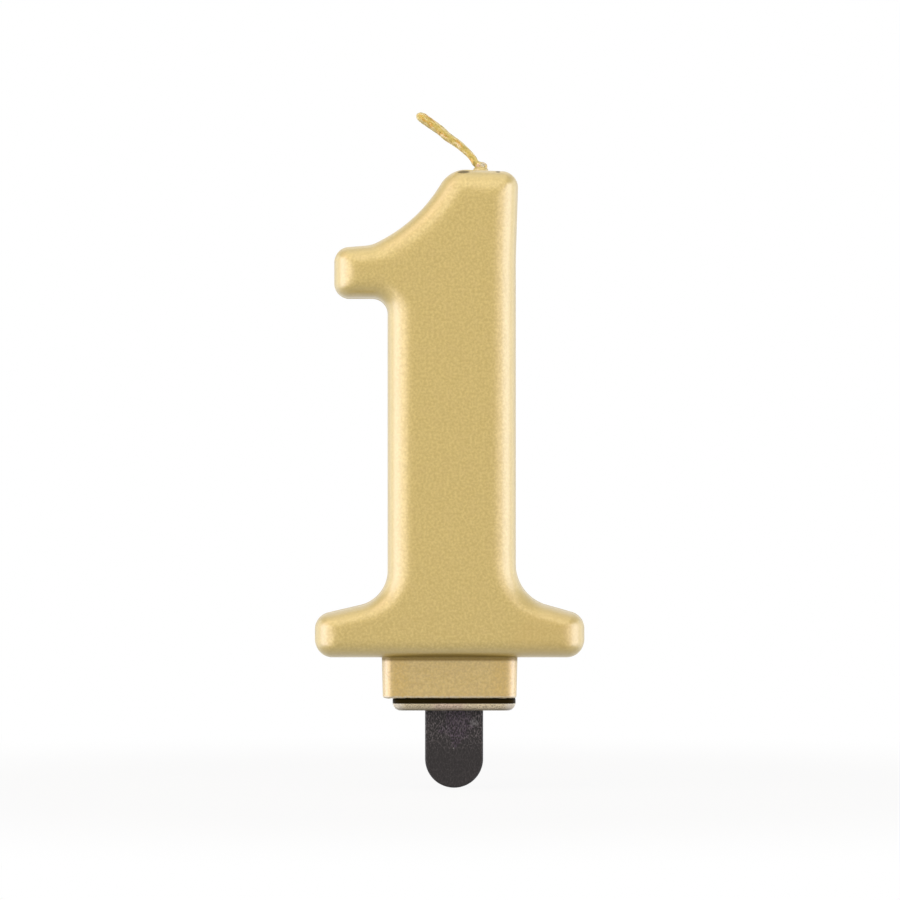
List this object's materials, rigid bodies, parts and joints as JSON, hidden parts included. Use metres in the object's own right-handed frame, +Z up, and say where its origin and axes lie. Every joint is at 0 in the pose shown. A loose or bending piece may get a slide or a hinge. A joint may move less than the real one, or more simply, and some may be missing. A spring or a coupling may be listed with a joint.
{
  "type": "number candle",
  "caption": "Wax candle shaped as the numeral 1 in satin gold, with a folded wick and a black plastic pick that stands it in a cake.",
  "frame": {"origin": "centre of the underside of the pick's flange, the plane that rests on the cake", "axes": "+Z up the numeral, -Y out of its front face, +X to the right seen from the front"},
  "size_m": [0.0404, 0.013, 0.1015],
  "materials": {
    "wax": "satin",
    "wick": "satin",
    "pick": "satin"
  },
  "bodies": {
    "pick": {"cake_pick": "pick"},
    "candle": {"wax_numeral": "wax", "wick": "wick"}
  },
  "joints": [
    {"name": "candle_pull_off", "type": "slide", "parent": "pick", "child": "candle", "axis": [0, 0, 1], "range_m": [0, 0.013]}
  ]
}
